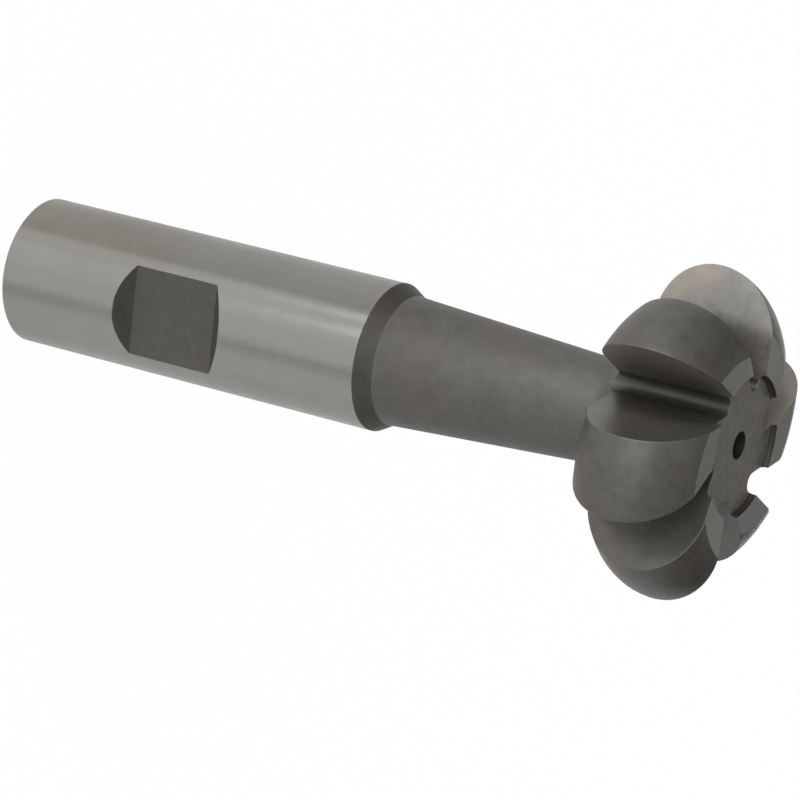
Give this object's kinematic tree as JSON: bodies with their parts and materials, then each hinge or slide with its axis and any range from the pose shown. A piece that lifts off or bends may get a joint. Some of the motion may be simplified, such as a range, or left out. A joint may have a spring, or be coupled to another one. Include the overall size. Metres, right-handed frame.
{
  "type": "convex radius cutter",
  "caption": "Convex radius milling cutter on a long straight shank with a side-lock flat; half-round relieved teeth mill a concave groove.",
  "frame": {"origin": "centre of the flat end of the shank, at the bottom of the part", "axes": "+Z along the cutter's axis from the shank end to the head; -Y is the outward normal of the side-lock flat; +X completes the right-handed frame"},
  "size_m": [0.0406, 0.0394, 0.1024],
  "materials": {
    "tool_steel": "shank ground bright, neck and back of the head satin grey, teeth ground"
  },
  "bodies": {
    "root": {"radius_cutter": "tool_steel"}
  },
  "joints": []
}
